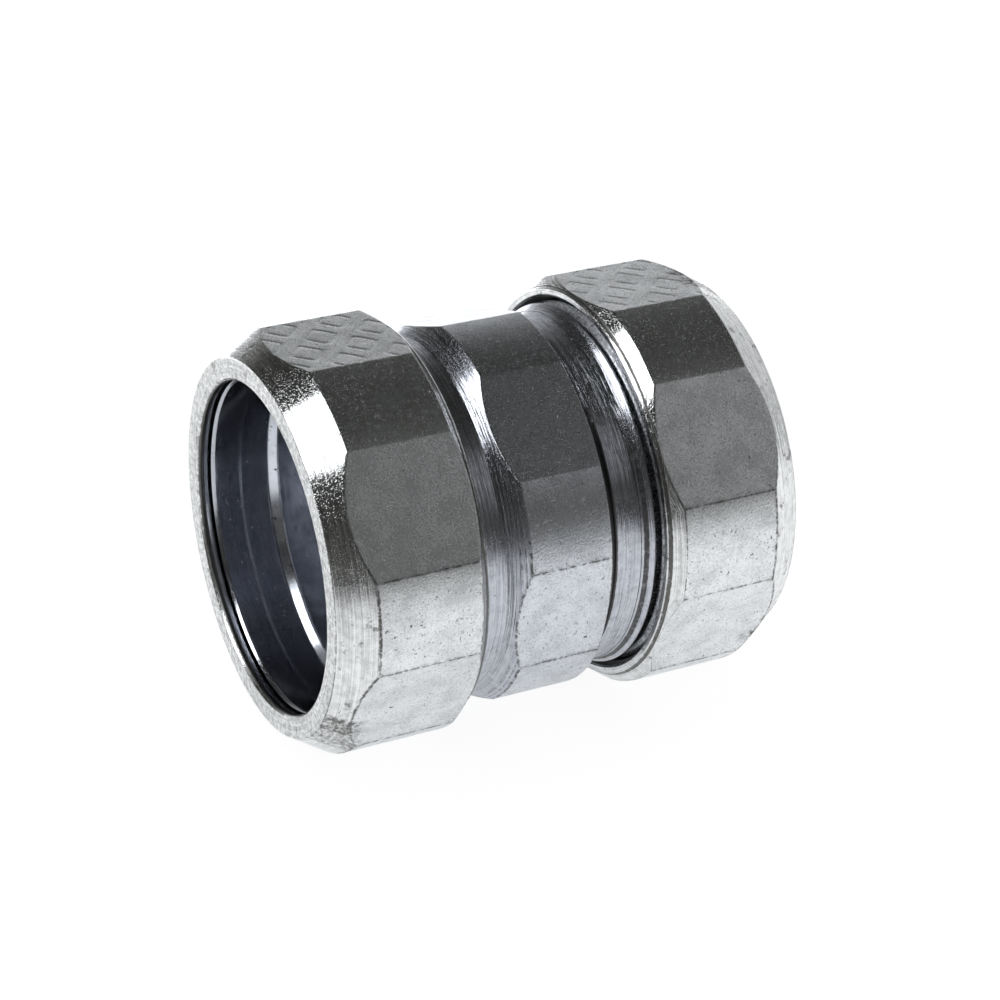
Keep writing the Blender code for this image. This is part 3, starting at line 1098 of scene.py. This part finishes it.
def make_floor(height):
    turns = np.arange(FLOOR_SIDES) * TURN / FLOOR_SIDES
    x, y = FLOOR_RADIUS * np.cos(turns), FLOOR_RADIUS * np.sin(turns)
    points = np.stack([x, y, np.full(FLOOR_SIDES, height)], axis=1)
    mesh = bpy.data.meshes.new("floor")
    mesh.from_pydata(points.tolist(), [], [list(range(FLOOR_SIDES))])
    mesh.materials.append(floor_material())
    floor = bpy.data.objects.new("floor", mesh)
    bpy.context.scene.collection.objects.link(floor)


def window_light(g, look):
    """1 inside the window of light, fading out at its edges."""
    window = None
    for normal, place in WINDOW_EDGES:
        inside = g.ramp(g.toward(look, normal), place - 0.03, place + 0.05)
        window = inside if window is None else g.math("MULTIPLY", window, inside)
    return window


def room_light(g, look, height):
    """Strength of the dark studio above the floor's horizon."""
    low = g.math("SUBTRACT", 1.0, g.math("DIVIDE", height, 0.62), clamp=True)
    low = g.math("MULTIPLY", low, low)
    walls = g.math("MULTIPLY", low, g.ramp(g.toward(look, FAR_RIGHT), 0.25, 0.95, 0.08, 0.62))
    toward_card = g.toward(look, FRONT_CARD)
    card = g.ramp(toward_card, 0.935, 0.99, 0.0, 0.38)
    halo = g.ramp(toward_card, 0.84, 0.92, 0.0, 0.05)
    front_card = g.math("ADD", card, halo)
    on_right = g.ramp(g.toward(look, RIGHT_SIDE), 0.60, 0.85)
    right_card = g.math("MULTIPLY", on_right, g.ramp(height, 0.27, 0.58, 0.70, 0.10))
    right_card = g.math("MULTIPLY", right_card, g.ramp(height, 0.0, 0.12, 0.65, 1.0))
    glow = g.math("MAXIMUM", walls, right_card)
    room = g.math("ADD", g.math("ADD", glow, front_card), ROOM_STRENGTH)
    return g.math("ADD", room, g.math("MULTIPLY", window_light(g, look), WINDOW_STRENGTH))


def backdrop_light(g, look):
    """Strength of the paper that hangs below the floor's horizon, far and right."""
    far_side = g.ramp(g.toward(look, FAR_SIDE), 0.50, 0.85, 0.0, 1.40)
    right_side = g.ramp(g.toward(look, RIGHT_SIDE), 0.30, 0.70, 0.12, 0.85)
    return g.math("ADD", far_side, right_side)


def make_world():
    """White backdrop to the camera; in reflections, a dark studio.

    The far and right walls glow low down, soft cards stand at the right and at the
    front right, and a large window of light opens at the left, behind.
    """
    world = bpy.data.worlds.new("studio")
    world.cycles.sampling_method = "NONE"
    bpy.context.scene.world = world
    g = Graph(world)
    look = g.node("ShaderNodeTexCoord").outputs["Generated"]
    split = g.node("ShaderNodeSeparateXYZ")
    g.put(split.inputs[0], look)
    height = split.outputs["Z"]
    above, below = room_light(g, look, height), backdrop_light(g, look)
    lit = g.mix_value(g.ramp(height, -0.035, 0.0), below, above)

    studio = g.node("ShaderNodeBackground")
    g.put(studio.inputs["Color"], g.mix(g.ramp(lit, 0.0, 0.5), (1.0, 1.0, 0.94), (0.98, 1.0, 1.02)))
    g.put(studio.inputs["Strength"], lit)
    white = g.tree.nodes["Background"]
    g.put(white.inputs["Color"], (1.0, 1.0, 1.0, 1.0))
    path = g.node("ShaderNodeLightPath").outputs
    plain = g.math("MAXIMUM", path["Is Camera Ray"], path["Is Diffuse Ray"])
    g.put(g.tree.nodes["World Output"].inputs["Surface"], g.choose(plain, studio, white))


# ------------------------------------------------------------------ assembly
def make_pieces():
    """Skins of the five pieces, each riding on its body in place of its CAD node."""
    metals = make_metals()
    inner = [metals["thread"], metals["bore"]]
    nut = [metals["nut_flats"], metals["nut_turned"]] + inner
    body = [metals["body_flats"], metals["collar"]] + inner
    ring = [metals["nut_flats"], metals["ring"]] + inner
    nut_left = make_nut("nut_left_shell", -1, LEFT_PHASE, 0.85, 11, nut)
    nut_right = make_nut("nut_right_shell", 1, RIGHT_PHASE, 1.15, 31, nut)
    coupling = make_body("body_shell", body)
    ring_left = make_ring("ring_left_shell", -1, LEFT_SPLIT, ring)
    ring_right = make_ring("ring_right_shell", 1, RIGHT_SPLIT, ring)
    pieces = (
        (nut_left, "nut_left", "gland_nut_left", "nut_steel_left"),
        (nut_right, "nut_right", "gland_nut_right", "nut_steel_right"),
        (coupling, "body", "coupling_body", "body_steel"),
        (ring_left, "ring_left", "compression_ring_left", "ring_steel_left"),
        (ring_right, "ring_right", "compression_ring_right", "ring_steel_right"),
    )
    for piece, rider, node, slot in pieces:
        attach(piece, rider)
        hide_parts(node)


def main():
    make_pieces()
    make_floor(CAD_LOW.z)
    make_world()
    make_camera()
    view = bpy.context.scene.view_settings
    view.view_transform = "Standard"
    view.look = "None"


main()
